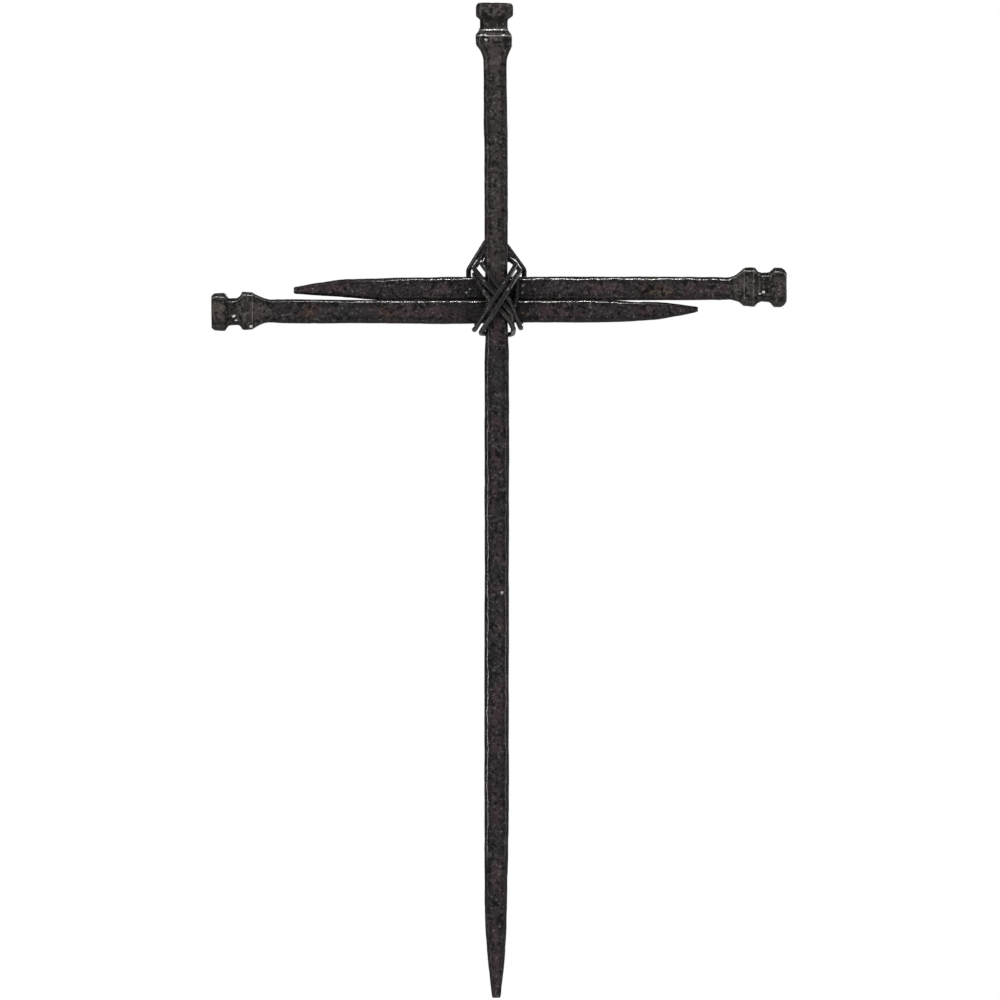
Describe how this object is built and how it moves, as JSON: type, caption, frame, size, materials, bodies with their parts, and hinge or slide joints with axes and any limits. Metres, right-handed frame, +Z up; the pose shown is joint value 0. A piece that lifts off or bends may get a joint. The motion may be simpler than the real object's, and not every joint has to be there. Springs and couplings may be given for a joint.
{
  "type": "wall cross of bound iron nails",
  "caption": "Black wrought-iron wall cross: a long square forged nail upright and shorter nails side by side across it, bound at the crossing with iron wire that also forms the hanging loop.",
  "frame": {"origin": "bearing point of the hanging loop: the underside of its top, behind the upright nail", "axes": "+Z up along the upright nail, +X to the right seen from the front, +Y back towards the wall; the front faces -Y"},
  "size_m": [0.1767, 0.0207, 0.305],
  "materials": {
    "forged_iron": "blackened forged iron, waxed, with worn edges and brown rust patches",
    "annealed_wire": "black annealed iron tie wire, slightly glossy"
  },
  "bodies": {
    "root": {"upright_nail": "forged_iron", "upper_cross_nail": "forged_iron", "lower_cross_nail": "forged_iron", "binding_wire": "annealed_wire"}
  },
  "joints": []
}
